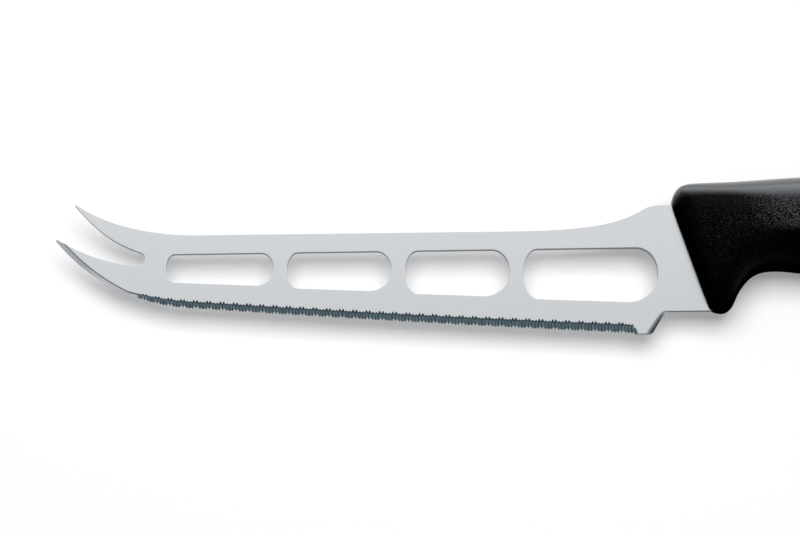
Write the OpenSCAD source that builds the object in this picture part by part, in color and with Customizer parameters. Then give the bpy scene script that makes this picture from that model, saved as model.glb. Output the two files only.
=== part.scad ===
// Cheese knife lying on its side: a pierced, forked steel blade in a moulded plastic handle.
// X runs along the spine towards the butt, Y across towards the spine, Z up through the thickness.
// The pieces are drawn from the point where the spine's line meets the handle's front face,
// and then moved so that the origin is at the middle of the underside.

/* [Blade] */
// Length from the handle's front to the lower point
blade_len = 156.6; // [145:0.1:175]
// Thickness of the steel at the tang and the shoulder
blade_th = 1.8; // [1.5:0.1:2.4]
// Thickness behind the edge at the heel
edge_th = 0.7; // [0.5:0.05:0.9]
// Thickness at the lower point
point_th = 1; // [0.7:0.05:1.2]
// Height of the shoulder above the straight spine
shoulder_rise = 6.3; // [4:0.1:8]
// Distance from the handle's front line to the end of the flat shoulder
shoulder_len = 5.2; // [4.5:0.1:8]
// Length of the curve from the shoulder down to the spine
ramp_len = 34.8; // [28:0.1:40]
// Depth of the edge below the spine at its back end
edge_back_depth = 26.45; // [24:0.05:29]
// Depth of the edge below the spine where the belly begins
edge_front_depth = 18.9; // [17.5:0.1:20]
// How far the edge bows out between those two places
edge_bow = 0.35; // [0:0.05:1]
// Length of the curved belly, from the lower point
belly_len = 36.5; // [32:0.5:40]

/* [Heel] */
// Distance from the handle's front to the back end of the teeth
heel_gap = 11.4; // [10.5:0.1:14]
// How far the blunt heel stands below the edge
heel_drop = 0.35; // [0.2:0.05:1]
// Depth of the step in front of the handle, below the spine
choil_depth = 21.1; // [20:0.1:21.2]
// Distance from the handle's front line to the corner where that step ends
choil_gap = 4.4; // [4:0.1:6]
// Angle of the heel's back, from the spine
heel_angle = 59; // [50:1:75]
// Radius of the heel's corner
heel_r = 1.5; // [0.5:0.1:2]
// Width of the ground facet at the heel's lower end
heel_facet_w = 1.1; // [0.5:0.1:1.5]

/* [Fork] */
// Distance from the lower point to where the top edge starts to rise
fork_len = 37; // [34:0.5:42]
// Height of the upper point above the spine
fork_rise = 8.3; // [6:0.1:10]
// How far the lower point reaches past the upper one
fork_lead = 4.75; // [3:0.05:7]
// Depth of the lower point below the spine
point_drop = 0.75; // [0.5:0.05:2]
// Radius at the points
point_r = 0.2; // [0.2:0.05:0.4]
// Length of the slot between the points
slot_len = 22.4; // [20:0.1:24]
// Radius at the slot's root
slot_r = 1.65; // [1.2:0.05:2]
// Depth of the slot's root below the spine
slot_drop = 5.95; // [5.5:0.05:6.5]

/* [Openings in the blade] */
// Distance from the slot's root to the first opening
window_front_gap = 5.4; // [4:0.1:8]
// Distance from the last opening to the handle's front
window_back_gap = 5.9; // [5:0.1:9]
// Width of the bridges between the openings
bridge_w = 3.4; // [2.5:0.1:5]
// Depth of the openings' upper edge below the spine at the front
window_top_depth = 4.92; // [3.5:0.02:6]
// How much nearer to the spine that edge is at the back
window_top_rise = 0.36; // [0:0.02:1]
// Depth of their lower edge below the spine at the front
window_front_depth = 12.05; // [11:0.05:13]
// Depth of their lower edge below the spine at the back
window_back_depth = 19.25; // [17:0.05:20]
// How far each opening's lower edge flattens out towards its back end
window_lift = 0.28; // [0:0.02:0.6]

/* [Edge] */
// Angle between the serrated bevel and the flat side
bevel_angle = 22.5; // [18:0.5:26]
// Angle of the plain bevel on the lower point
point_bevel_angle = 40; // [36:1:46]
// Distance from the lower point to the first tooth
plain_len = 21; // [15:0.5:24]
// Spacing of the grooves
tooth_pitch = 0.83; // [0.7:0.01:1.2]
// Depth of the long grooves
long_groove = 0.24; // [0.15:0.01:0.3]
// Depth of the short grooves
short_groove = 0.12; // [0.08:0.01:0.2]
// Angle that the grooves lean towards the handle
groove_lean = 10; // [0:1:15]
// Thickness left at the cutting edge itself
edge_land = 0.05; // [0.03:0.01:0.1]

/* [Tang] */
// Length of the tang inside the handle
tang_len = 95; // [60:1:105]
// How far the full width of the blade is sunk in the handle
tang_sink = 1.6; // [1:0.1:1.8]
// Height of the tang at the front
tang_front_h = 12; // [9:0.1:13]
// Height of the tang at the back
tang_back_h = 8; // [6:0.1:9]
// Height of the tang's middle line above the spine
tang_rise = -1.2; // [-2:0.1:0]
// Diameter of the holes that lock the plastic
lock_hole_d = 4.6; // [3:0.1:5]
// Number of those holes
lock_holes = 3; // [1:1:4]

/* [Handle] */
// Length of the handle along the spine's line
handle_len = 130; // [120:1:140]
// Thickness of the handle
handle_th = 17; // [14:0.1:20]
// Angle of the handle's front face, from square to the spine
front_angle = 17.6; // [12:0.1:22]
// Height of the handle's back above the spine's line at its highest
grip_rise = 14; // [12.5:0.1:16]
// Depth of the finger guard below the spine's line
guard_depth = 21.7; // [21.5:0.1:24]
// Rounding of the front face at the back of the handle
front_top_r = 5.3; // [4:0.1:6]
// Rounding of the front face at the sides
front_side_r = 5.2; // [2:0.1:5.5]
// Rounding of the front face at the finger guard
front_guard_r = 0.4; // [0.2:0.1:0.6]
// Rounding of the butt
butt_r = 7; // [4:0.1:8]

/* [Hidden] */
$fn = 32;

// One overrun for every cut, and the lap between neighbouring cuts along the edge
over = 3;
lap = 0.1;
// Steps in the curves
curve_steps = 12;
arc_steps = 6;
edge_steps = 6;
ring_steps = 36;
round_steps = 5;
// Reach of an opening's rounded corners along its long side and down its end, as shares of its
// height there: upper left, upper right, lower right, lower left
window_corner_shares = [[0.3, 0.46], [0.355, 0.43], [0.55, 0.52], [0.29, 0.45]];
// Lengths of the openings as shares of the steel left to them
window_shares = [0.2382, 0.2313, 0.2317, 0.2988];
// How far the openings' lower edges bow out, as a share of their fall
window_bow_share = 0.02;

// Handle lines along its length: each row is a share of the length, then a share of the named height
top_shares = [[0, 0.75], [0.06, 0.828], [0.12, 0.863], [0.24, 0.947], [0.34, 0.982], [0.45, 1],
    [0.6, 0.97], [0.75, 0.86], [0.88, 0.69], [0.95, 0.56], [1, 0.44]];
bottom_shares = [[0, 0.962], [0.006, 0.98], [0.014, 0.994], [0.026, 1], [0.044, 0.96], [0.0725, 0.767],
    [0.0905, 0.667], [0.11, 0.58], [0.129, 0.525], [0.156, 0.492], [0.178, 0.488], [0.215, 0.51],
    [0.3, 0.585], [0.42, 0.655], [0.52, 0.665], [0.64, 0.605], [0.76, 0.525], [0.85, 0.555],
    [0.92, 0.685], [0.965, 0.755], [1, 0.735]];
// Half thickness as a share of half the handle's thickness
side_shares = [[0, 0.86], [0.04, 0.93], [0.1, 1], [0.84, 1], [0.93, 0.96], [1, 0.88]];
// Height of the widest line as a share of the section's height, from the top
crest_shares = [[0, 0.45], [0.1, 0.52], [0.3, 0.56], [0.8, 0.56], [1, 0.5]];
// Squareness of the section's upper and lower part: 2 is an ellipse
upper_square_shares = [[0, 4.6], [0.1, 2.5], [0.2, 2.15], [0.4, 2.1], [0.9, 2.2], [1, 2.5]];
lower_square_shares = [[0, 2.8], [0.2, 2.6], [0.4, 2.4], [1, 2.4]];
// Lean of the sections as a share of the front face's angle
lean_shares = [[0, 1], [0.08, 0.86], [0.2, 0.25], [0.3, 0], [1, 0]];
// Places of the sections behind the rounded front
station_shares = concat([0.05, 0.062, 0.075, 0.09, 0.105, 0.12, 0.14, 0.16, 0.19, 0.22, 0.26],
    [for (i = [0:10]) 0.3 + i * 0.055], [0.88, 0.91]);

// Curves in a plane

function mix(a, b, t) = a + (b - a) * t;
function ahead(angle) = [cos(angle), sin(angle)];
function bezier(a, b, c, d, n = curve_steps) = [for (i = [0:n]) let (t = i / n, s = 1 - t)
    s * s * s * a + 3 * s * s * t * b + 3 * s * t * t * c + t * t * t * d];
function arc(centre, r, from, to, n = arc_steps) =
    [for (i = [0:n]) centre + r * ahead(mix(from, to, i / n))];

// Corner p between a and b, rounded with radius r
function corner(a, p, b, r, n = arc_steps) = let (
        u = (a - p) / norm(a - p),
        v = (b - p) / norm(b - p),
        half = acos(u * v) / 2,
        run = min(r / tan(half), norm(a - p) / 2, norm(b - p) / 2),
        centre = p + (u + v) / norm(u + v) * run / cos(half),
        from = atan2((p + u * run - centre).y, (p + u * run - centre).x),
        to = atan2((p + v * run - centre).y, (p + v * run - centre).x),
        turn = (to - from + 540) % 360 - 180)
    arc(centre, run * tan(half), from, from + turn, n);

// Corner p between a and b, rounded with an ellipse that starts run_a and run_b away from p
function oval_corner(a, p, b, run_a, run_b, n = arc_steps) = let (
        u = (a - p) / norm(a - p),
        v = (b - p) / norm(b - p))
    [for (i = [0:n]) p + u * run_a * (1 - sin(90 * i / n)) + v * run_b * (1 - cos(90 * i / n))];

// Smooth line through a table of places and values, which never swings past a value
function row_at(rows, x, i = 0) = i >= len(rows) - 2 || x < rows[i + 1][0] ? i : row_at(rows, x, i + 1);
function slope_after(rows, i) = (rows[i + 1][1] - rows[i][1]) / (rows[i + 1][0] - rows[i][0]);
function rise_at(rows, i) = let (
        before = slope_after(rows, max(i - 1, 0)),
        after = slope_after(rows, min(i, len(rows) - 2)))
    before * after <= 0 ? 0 : 2 * before * after / (before + after);
function follow(rows, x) = let (
        i = row_at(rows, x),
        run = rows[i + 1][0] - rows[i][0],
        t = (x - rows[i][0]) / run,
        start = rows[i][1],
        end = rows[i + 1][1])
    start + t * run * rise_at(rows, i)
    + t * t * (3 * (end - start) - run * (2 * rise_at(rows, i) + rise_at(rows, i + 1)))
    + t * t * t * (2 * (start - end) + run * (rise_at(rows, i) + rise_at(rows, i + 1)));

// Blade outline

front_slope = tan(front_angle);
function front_x(y) = -front_slope * y;

edge_front = [belly_len - blade_len, -edge_front_depth];
edge_back = [-heel_gap, -edge_back_depth];
function edge_at(t) = mix(edge_front, edge_back, t) - [0, 4 * edge_bow * t * (1 - t)];
edge_front_angle = atan((edge_at(1 / edge_steps) - edge_front).y / (edge_at(1 / edge_steps) - edge_front).x);

lower_point = [point_r - blade_len, -point_drop];
upper_point = [point_r - blade_len + fork_lead, fork_rise - point_r];
slot_root = [slot_len - blade_len - slot_r, -slot_drop];
top_start = [fork_len - blade_len, 0];

lower_point_upper_angle = 60;
lower_point_lower_angle = 230;
upper_point_top_angle = 55;
upper_point_slot_angle = 222;
slot_upper_angle = 68;

belly_start = lower_point + point_r * ahead(lower_point_lower_angle);
belly_fall = belly_start.y - edge_front.y;
belly = bezier(belly_start,
    belly_start + [0.395 * belly_len, -0.99 * belly_fall],
    edge_front - 0.08 * belly_len * ahead(edge_front_angle),
    edge_front);

slot_lower_end = lower_point + point_r * ahead(lower_point_upper_angle);
slot_lower_start = slot_root - [0, slot_r];
slot_lower = bezier(slot_lower_end,
    slot_lower_end + [0.24 * slot_len, -0.59 * slot_drop],
    slot_lower_start - [0.31 * slot_len, 0],
    slot_lower_start);

slot_upper_start = slot_root + slot_r * ahead(slot_upper_angle);
slot_upper_end = upper_point + point_r * ahead(upper_point_slot_angle);
slot_upper = bezier(slot_upper_start,
    slot_upper_start + 0.21 * slot_len * ahead(slot_upper_angle + 90),
    slot_upper_end + [0.33 * slot_len, -1.08 * fork_rise],
    slot_upper_end);

fork_top_start = upper_point + point_r * ahead(upper_point_top_angle);
fork_top = bezier(fork_top_start,
    fork_top_start + [0.33 * fork_len, -1.08 * fork_rise],
    top_start - [0.02 * fork_len, 0],
    top_start);

shoulder_end = [-shoulder_len, shoulder_rise];
ramp_start = shoulder_end - [ramp_len, shoulder_rise];
ramp = bezier(ramp_start, ramp_start + [0.9 * ramp_len, 0], shoulder_end - [0.185 * ramp_len, 0], shoulder_end);

choil = [-choil_gap, -choil_depth];
heel_depth = edge_back_depth + heel_drop;
heel = [choil.x - (heel_depth - choil_depth) / tan(heel_angle), -heel_depth];

tang_top_front = tang_rise + tang_front_h / 2;
tang_bottom_front = tang_rise - tang_front_h / 2;
tang_end_r = tang_back_h / 4;
function sunk(y) = [front_x(y) + tang_sink, y];

tang_rows = [
    [[tang_len, tang_rise + tang_back_h / 2], tang_end_r],
    [[tang_len, tang_rise - tang_back_h / 2], tang_end_r],
    [sunk(tang_bottom_front), tang_sink / 2],
    [sunk(-choil_depth), tang_sink / 4]];

blade_outline = concat(
    corner(sunk(tang_top_front), tang_rows[0][0], tang_rows[1][0], tang_end_r),
    corner(tang_rows[0][0], tang_rows[1][0], tang_rows[2][0], tang_end_r),
    corner(tang_rows[1][0], tang_rows[2][0], tang_rows[3][0], tang_sink / 2),
    [sunk(-choil_depth), choil],
    corner(choil, heel, edge_back - [0, heel_drop], heel_r),
    [edge_back - [0, heel_drop]],
    [for (i = [edge_steps:-1:1]) edge_at(i / edge_steps)],
    [for (i = [curve_steps:-1:0]) belly[i]],
    arc(lower_point, point_r, lower_point_lower_angle, lower_point_upper_angle),
    [for (i = [1:curve_steps]) slot_lower[i]],
    arc(slot_root, slot_r, -90, slot_upper_angle, 2 * arc_steps),
    [for (i = [1:curve_steps]) slot_upper[i]],
    arc(upper_point, point_r, upper_point_slot_angle, upper_point_top_angle),
    [for (i = [1:curve_steps]) fork_top[i]],
    ramp,
    [sunk(shoulder_rise), sunk(tang_top_front)]);

// The openings in the blade

windows_front = slot_root.x + slot_r + window_front_gap;
windows_back = -window_back_gap;
window_count = len(window_shares);
window_steel = windows_back - windows_front - (window_count - 1) * bridge_w;
function shares_before(i) = i == 0 ? 0 : window_shares[i - 1] + shares_before(i - 1);
function window_start(i) = windows_front + shares_before(i) * window_steel + i * bridge_w;
function window_end(i) = window_start(i) + window_shares[i] * window_steel;
function window_ceiling(x) = -window_top_depth
    + window_top_rise * (x - windows_front) / (windows_back - windows_front);
function window_floor(x) = let (
        t = (x - windows_front) / (windows_back - windows_front),
        fall = window_back_depth - window_front_depth)
    -window_front_depth - fall * (t + 4 * window_bow_share * t * (1 - t));

module window(i) {
    left = window_start(i);
    right = window_end(i);
    ends = [[left, window_ceiling(left)], [right, window_ceiling(right)],
        [right, window_floor(right) + window_lift], [left, window_floor(left)]];
    polygon([for (i = [0:3]) let (
            across = i % 2,
            high = window_ceiling(ends[i].x) - window_floor(ends[i].x),
            along = high * window_corner_shares[i][0],
            down = high * window_corner_shares[i][1])
        each oval_corner(ends[(i + 3) % 4], ends[i], ends[(i + 1) % 4],
            across == 0 ? down : along, across == 0 ? along : down)]);
}

module blade_blank() {
    translate([0, 0, -blade_th / 2])
        linear_extrude(blade_th)
            difference() {
                polygon(blade_outline);
                for (i = [0:window_count - 1]) window(i);
                for (i = [1:lock_holes])
                    translate([tang_len * i / (lock_holes + 1), tang_rise]) circle(d = lock_hole_d);
            }
}

// The ground sides: a plane from the full thickness at the shoulder to the edge and the lower point

grind_high = [front_x(shoulder_rise), shoulder_rise, blade_th / 2];
grind_low = [heel.x, heel.y, edge_th / 2];
grind_tip = [lower_point.x, lower_point.y, point_th / 2];
grind_normal = cross(grind_low - grind_high, grind_tip - grind_high);
grind_up = grind_normal / norm(grind_normal) * sign(grind_normal.z);
function grind_z(p) = grind_high.z
    - (grind_up.x * (p.x - grind_high.x) + grind_up.y * (p.y - grind_high.y)) / grind_up.z;

module grind_cut() {
    reach = blade_len + handle_len;
    intersection() {
        translate(grind_high)
            rotate([-asin(grind_up.y), atan(grind_up.x / grind_up.z), 0])
                translate([-reach, -reach, 0]) cube([2 * reach, 2 * reach, 2 * over]);
        rotate([0, 0, front_angle])
            translate([-reach, -reach / 2, -2 * over]) cube([reach, reach, 4 * over]);
    }
}

// The bevel along the edge, cut on one side only. Each stretch from p to q holds whole groups of
// two long and two short grooves.

groove_depths = [long_groove, long_groove, short_groove, short_groove];
groove_group = len(groove_depths);

module bevel_cut(p, q, angle, toothed) {
    run = norm(q - p);
    climb = atan((grind_z(p) - grind_z(q)) / run);
    groups = max(1, round(run / (groove_group * tooth_pitch)));
    step = run * cos(groove_lean) / (groups * groove_group);
    reach = 2 * (edge_th / sin(bevel_angle) + over);
    teeth = [for (g = [0:groups * groove_group - 1])
        each [[g * step, 0], [(g + 0.5) * step, -groove_depths[g % groove_group]]]];
    width = run * cos(groove_lean);
    translate([p.x, p.y, edge_land - grind_z(p)])
        rotate([0, 0, atan2((q - p).y, (q - p).x)])
            rotate([0, -climb, 0])
                rotate([angle, 0, 0])
                    rotate([0, 0, groove_lean])
                        rotate([90, 0, 0])
                            linear_extrude(reach, center = true)
                                polygon(concat([[-lap, blade_th], [-lap, 0]], toothed ? teeth : [],
                                    [[width, 0], [width + lap, 0], [width + lap, blade_th]]));
}

teeth_front = plain_len - blade_len;

module edge_cut() {
    for (i = [0:edge_steps - 1])
        bevel_cut(edge_at(i / edge_steps), edge_at((i + 1) / edge_steps), bevel_angle, true);
    for (i = [0:curve_steps - 1]) {
        p = belly[i];
        q = belly[i + 1];
        blend = max(0, min(1, (p.x - teeth_front) / (edge_front.x - teeth_front)));
        bevel_cut(p, q, mix(point_bevel_angle, bevel_angle, blend), p.x > teeth_front);
    }
}

module heel_cut() {
    back = norm(choil - heel);
    turn = atan(heel_facet_w / back);
    translate([choil.x, choil.y, grind_z(choil)])
        rotate([0, 0, heel_angle + turn])
            translate([-back - over, 0, 0])
                rotate([-point_bevel_angle, 0, 0])
                    translate([0, -over, 0])
                        cube([back + over, over, over]);
}

module blade() {
    color([0.82, 0.83, 0.85])
        difference() {
            blade_blank();
            grind_cut();
            mirror([0, 0, 1]) grind_cut();
            edge_cut();
            heel_cut();
        }
}

// The handle's skin: rings from the front face to the butt, each a rounded section

function top_y(s) = grip_rise * follow(top_shares, s);
function bottom_y(s) = -guard_depth * follow(bottom_shares, s);

// The outline of one section, drawn in by its insets at the top, the sides and the bottom
function ring(s, top_in, side_in, bottom_in) = let (
        high = top_y(s) - top_in,
        low = bottom_y(s) + bottom_in,
        crest = mix(high, low, follow(crest_shares, s)),
        half = handle_th / 2 * follow(side_shares, s) - side_in,
        upper_power = 2 / follow(upper_square_shares, s),
        lower_power = 2 / follow(lower_square_shares, s),
        lean = tan(front_angle * follow(lean_shares, s)))
    [for (i = [0:ring_steps - 1]) let (
            a = (i + 0.5) * 360 / ring_steps,
            power = sin(a) > 0 ? upper_power : lower_power,
            widest = pow(cos(180 / ring_steps), power),
            y = crest + (sin(a) > 0 ? high - crest : crest - low) * sign(sin(a)) * pow(abs(sin(a)), power),
            z = half * sign(cos(a)) * pow(abs(cos(a)), power) / widest)
        [s * handle_len - lean * y, y, z]];

function inset(r, run) = run >= r ? 0 : r - sqrt(r * r - (r - run) * (r - run));
front_rings = [for (i = [0:round_steps]) let (run = front_top_r * (1 - cos(90 * i / round_steps)))
    ring(run / handle_len, inset(front_top_r, run), inset(front_side_r, run), inset(front_guard_r, run))];
middle_rings = [for (s = station_shares) ring(s, 0, 0, 0)];
butt_rings = [for (i = [round_steps:-1:0]) let (run = butt_r * (1 - cos(90 * i / round_steps)))
    ring(1 - run / handle_len, inset(butt_r, run), inset(butt_r, run), inset(butt_r, run))];
rings = concat(front_rings, middle_rings, butt_rings);

module handle_skin() {
    last = len(rings) - 1;
    sides = [for (i = [0:last - 1], j = [0:ring_steps - 1]) let (
            k = (j + 1) % ring_steps,
            a = i * ring_steps,
            b = a + ring_steps)
        each [[a + j, a + k, b + k], [a + j, b + k, b + j]]];
    front = [for (j = [ring_steps - 1:-1:0]) j];
    butt = [for (j = [0:ring_steps - 1]) last * ring_steps + j];
    polyhedron([for (r = rings) each r], concat(sides, [front, butt]));
}

module handle() {
    color([0.07, 0.07, 0.08])
        difference() {
            handle_skin();
            blade_blank();
        }
}

// The whole part, moved to its origin

all_x = concat([for (p = blade_outline) p.x], [for (r = rings) each [for (p = r) p.x]]);
all_y = concat([for (p = blade_outline) p.y], [for (r = rings) each [for (p = r) p.y]]);
place = [-(min(all_x) + max(all_x)) / 2, -(min(all_y) + max(all_y)) / 2, handle_th / 2];

translate(place) blade();
translate(place) handle();
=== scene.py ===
import math
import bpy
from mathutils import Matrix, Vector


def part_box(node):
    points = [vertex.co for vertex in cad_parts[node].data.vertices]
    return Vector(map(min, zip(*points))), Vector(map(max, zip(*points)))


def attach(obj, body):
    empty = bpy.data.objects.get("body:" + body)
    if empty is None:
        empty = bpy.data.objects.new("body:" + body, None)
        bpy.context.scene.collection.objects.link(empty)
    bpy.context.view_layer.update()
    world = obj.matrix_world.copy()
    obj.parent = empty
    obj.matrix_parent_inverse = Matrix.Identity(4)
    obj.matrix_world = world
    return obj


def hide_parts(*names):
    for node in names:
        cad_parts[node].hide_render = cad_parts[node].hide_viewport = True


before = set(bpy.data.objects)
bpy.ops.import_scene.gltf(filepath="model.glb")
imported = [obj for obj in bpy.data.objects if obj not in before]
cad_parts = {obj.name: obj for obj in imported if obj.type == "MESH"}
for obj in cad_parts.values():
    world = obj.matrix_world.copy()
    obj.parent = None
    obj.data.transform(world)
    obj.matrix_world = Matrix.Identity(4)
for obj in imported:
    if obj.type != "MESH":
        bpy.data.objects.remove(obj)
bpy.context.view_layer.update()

from types import SimpleNamespace

import bpy
from bpy.props import FloatProperty, FloatVectorProperty, IntProperty, PointerProperty
from mathutils import Matrix, Vector

bl_info = {
    "name": "Cheese Knife",
    "version": (1, 0, 0),
    "blender": (4, 5, 0),
    "location": "View3D > Sidebar > Knife",
    "description": "Models a pierced, forked cheese knife, gives it its finishes and stages it",
    "category": "Add Mesh",
}

MM = 0.001


# Sizes and colours --------------------------------------------------------------------------------


def length(name, mm, description):
    return FloatProperty(
        name=name, description=description, default=mm * MM, min=0, precision=5, unit="LENGTH", subtype="DISTANCE"
    )


def angle(name, degrees, description):
    return FloatProperty(
        name=name, description=description, default=math.radians(degrees), unit="ROTATION", subtype="ANGLE"
    )


def colour(name, value, description):
    return FloatVectorProperty(
        name=name, description=description, default=value, min=0, max=1, size=3, subtype="COLOR"
    )


class BladeSizes(bpy.types.PropertyGroup):
    """Sizes of the blade, its points, openings and tang"""

    blade_len: length("Blade length", 156.6, "From the handle's front to the lower point")
    blade_th: length("Steel thickness", 1.8, "At the tang and the shoulder")
    edge_th: length("Heel thickness", 0.7, "Behind the edge at the heel")
    point_th: length("Point thickness", 1, "At the lower point")
    rim_r: length("Rim rounding", 0.07, "Rounding where the flat sides meet the cut walls")
    shoulder_rise: length("Shoulder rise", 6.3, "Height of the shoulder above the straight spine")
    shoulder_len: length("Shoulder length", 5.2, "From the handle's front line to the end of the flat shoulder")
    ramp_len: length("Ramp length", 34.8, "Of the curve from the shoulder down to the spine")
    edge_back_depth: length("Edge depth, back", 26.45, "Depth of the edge below the spine at its back end")
    edge_front_depth: length("Edge depth, front", 18.9, "Depth of the edge where the belly begins")
    edge_bow: length("Edge bow", 0.35, "How far the edge bows out between those two places")
    belly_len: length("Belly length", 36.5, "Of the curved belly, from the lower point")
    heel_gap: length("Heel gap", 11.4, "From the handle's front to the back end of the teeth")
    heel_drop: length("Heel drop", 0.35, "How far the blunt heel stands below the edge")
    choil_depth: length("Choil depth", 21.1, "Depth of the step in front of the handle")
    choil_gap: length("Choil gap", 4.4, "From the handle's front line to the corner of that step")
    heel_angle: angle("Heel angle", 59, "Slope of the heel's back")
    heel_r: length("Heel radius", 1.5, "Rounding of the heel's corner")
    fork_len: length("Fork length", 37, "From the lower point to where the top edge starts to rise")
    fork_rise: length("Fork rise", 8.3, "Height of the upper point above the spine")
    fork_lead: length("Fork lead", 4.75, "How far the lower point reaches past the upper one")
    point_drop: length("Point drop", 0.75, "Depth of the lower point below the spine")
    point_r: length("Point radius", 0.2, "Rounding of the two points")
    slot_len: length("Slot length", 22.4, "Of the slot between the points")
    slot_r: length("Slot radius", 1.65, "Rounding of the slot's root")
    slot_drop: length("Slot drop", 5.95, "Depth of the slot's root below the spine")
    window_front_gap: length("Front gap", 5.4, "From the slot's root to the first opening")
    window_back_gap: length("Back gap", 5.9, "From the last opening to the handle's front")
    bridge_w: length("Bridge width", 3.4, "Of the steel between two openings")
    window_top_depth: length("Opening top", 4.92, "Depth of the openings' upper edge below the spine, at the front")
    window_top_rise: length("Opening top rise", 0.36, "How much nearer to the spine that edge is at the back")
    window_front_depth: length("Opening floor, front", 12.05, "Depth of their lower edge at the front")
    window_back_depth: length("Opening floor, back", 19.25, "Depth of their lower edge at the back")
    window_lift: length("Opening lift", 0.28, "How far each opening's lower edge flattens out towards its back end")
    tang_len: length("Tang length", 95, "Of the tang inside the handle")
    tang_sink: length("Tang sink", 1.6, "How far the full width of the blade is sunk in the handle")
    tang_front_h: length("Tang height, front", 12, "Height of the tang at the front")
    tang_back_h: length("Tang height, back", 8, "Height of the tang at the back")
    tang_drop: length("Tang drop", 1.2, "Depth of the tang's middle line below the spine")
    lock_hole_d: length("Locking hole", 4.6, "Diameter of the holes that the plastic flows through")


class EdgeSizes(bpy.types.PropertyGroup):
    """Sizes of the ground edge and its teeth"""

    bevel_angle: angle("Bevel angle", 22.5, "Of the serrated bevel, from the flat side")
    point_bevel_w: length("Point bevel", 1.2, "Width of the plain bevel near the lower point")
    point_step: length("Point step", 0.2, "Depth of the small step where that bevel meets the flat side")
    edge_land: length("Edge land", 0.06, "Thickness left at the cutting edge itself")
    start_bevel_w: length("First bevel", 0.55, "Width of the bevel where the teeth begin")
    plain_len: length("Plain length", 21, "From the lower point to the first tooth")
    tooth_pitch: length("Tooth spacing", 0.83, "From one groove to the next")
    long_groove: length("Long groove", 0.24, "Depth of the two long grooves of a group")
    short_groove: length("Short groove", 0.12, "Depth of the two short grooves of a group")
    groove_lean: angle("Groove lean", 10, "Lean of the grooves towards the handle")
    run_out: length("Run-out", 2, "Length of the last grooves' curved way out of the steel")
    heel_facet_w: length("Heel facet", 1.5, "Width of the rounded facet at the heel's lower end")
    heel_facet_drop: length("Heel facet depth", 0.5, "How much the facet takes off at the heel's back")


class HandleSizes(bpy.types.PropertyGroup):
    """Sizes of the moulded handle"""

    handle_len: length("Handle length", 130, "Along the spine's line")
    handle_th: length("Handle thickness", 17, "From side to side")
    front_angle: angle("Front angle", 17.6, "Of the handle's front face, from square to the spine")
    grip_rise: length("Grip rise", 14, "Height of the handle's back above the spine's line")
    guard_depth: length("Guard depth", 21.7, "Depth of the finger guard below the spine's line")
    front_top_r: length("Front rounding, top", 5.3, "Rounding of the front face at the handle's back")
    front_side_r: length("Front rounding, sides", 5.2, "Rounding of the front face at the sides")
    front_guard_r: length("Front rounding, guard", 0.4, "Rounding of the front face at the finger guard")
    butt_r: length("Butt rounding", 7, "Rounding of the butt")
    collar_w: length("Smooth collar", 3, "Width of the ungrained band behind the front face")
    ring_points: IntProperty(name="Points in a ring", description="Points in each section", default=36, min=12)


class Finishes(bpy.types.PropertyGroup):
    """Colours of the steel and the plastic"""

    steel: colour("Satin steel", (0.675, 0.7, 0.721), "Flat sides of the blade")
    steel_dark: colour("Satin steel, dark lines", (0.66, 0.685, 0.706), "Fine grinding lines in the flat sides")
    # Painted highlight: lit down the middle of each groove, streaked by the grinding scratches
    ground: colour("Ground steel", (0.36, 0.49, 0.54), "Lit strokes in the grooves of the teeth")
    # Painted shade on the ridges between the grooves and on the teeth's upper ends
    ground_shade: colour("Ground steel, dark", (0.09, 0.15, 0.18), "Ridges and upper ends of the teeth")
    point: colour("Honed steel", (0.83, 0.865, 0.92), "Plain bevel on the lower point")
    # Painted shade: a dark line along the point's step, where the bevel meets the flat side
    honed_step_shade: colour("Honed steel, line", (0.18, 0.2, 0.22), "Where that bevel meets the flat side")
    # Partly the stamped steel's duller tone, partly painted shade
    wall: colour("Cut walls", (0.24, 0.255, 0.265), "Walls of the openings and the outline")
    # Painted shade on the cut walls below the openings' lower edges
    low_wall_shade: colour("Cut walls, heel", (0.05, 0.06, 0.07), "Walls below the openings' lower edges")
    # Painted shade darkening the heel's facet towards its outer rim
    facet: colour("Heel facet", (0.03, 0.07, 0.085), "Outer rim of the heel's facet")
    plastic: colour("Black plastic", (0.0004, 0.0004, 0.0005), "Handle")
    table: colour("Table", (0.8, 0.8, 0.8), "Paper under the knife")


def in_mm(group):
    """The group's values by name: lengths in millimetres, the rest as they are"""
    values = {}
    for key in group.bl_rna.properties.keys():
        if key not in ("rna_type", "name"):
            unit = group.bl_rna.properties[key].unit
            values[key] = getattr(group, key) / MM if unit == "LENGTH" else getattr(group, key)
    return SimpleNamespace(**values)


def sizes():
    """All sizes of the knife in one drawing"""
    scene = bpy.context.scene
    drawing = SimpleNamespace()
    for group in (scene.knife_blade, scene.knife_edge, scene.knife_handle):
        drawing.__dict__.update(in_mm(group).__dict__)
    drawing.front_slope = math.tan(drawing.front_angle)
    return drawing


# Drawing in millimetres, from the point where the spine's line meets the handle's front -----------


def mix(a, b, t):
    return a + (b - a) * t


def clamp(x, low=0, high=1):
    return max(low, min(high, x))


def ahead(turn):
    return Vector((math.cos(turn), math.sin(turn)))


def straight(a, b):
    return (a, mix(a, b, 1 / 3), mix(a, b, 2 / 3), b)


def bezier_at(curve, t):
    a, b, c, d = curve
    s = 1 - t
    return s * s * s * a + 3 * s * s * t * b + 3 * s * t * t * c + t * t * t * d


def arc(centre, r, start, end):
    """Curves round the centre from one angle to another, none over a quarter turn"""
    count = max(1, math.ceil(abs(end - start) / (math.pi / 2) - 0.001))
    step = (end - start) / count
    pull = 4 / 3 * math.tan(step / 4) * r
    curves = []
    for i in range(count):
        a = start + i * step
        b = a + step
        p = centre + r * ahead(a)
        q = centre + r * ahead(b)
        curves.append((p, p + pull * ahead(a + math.pi / 2), q - pull * ahead(b + math.pi / 2), q))
    return curves


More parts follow.
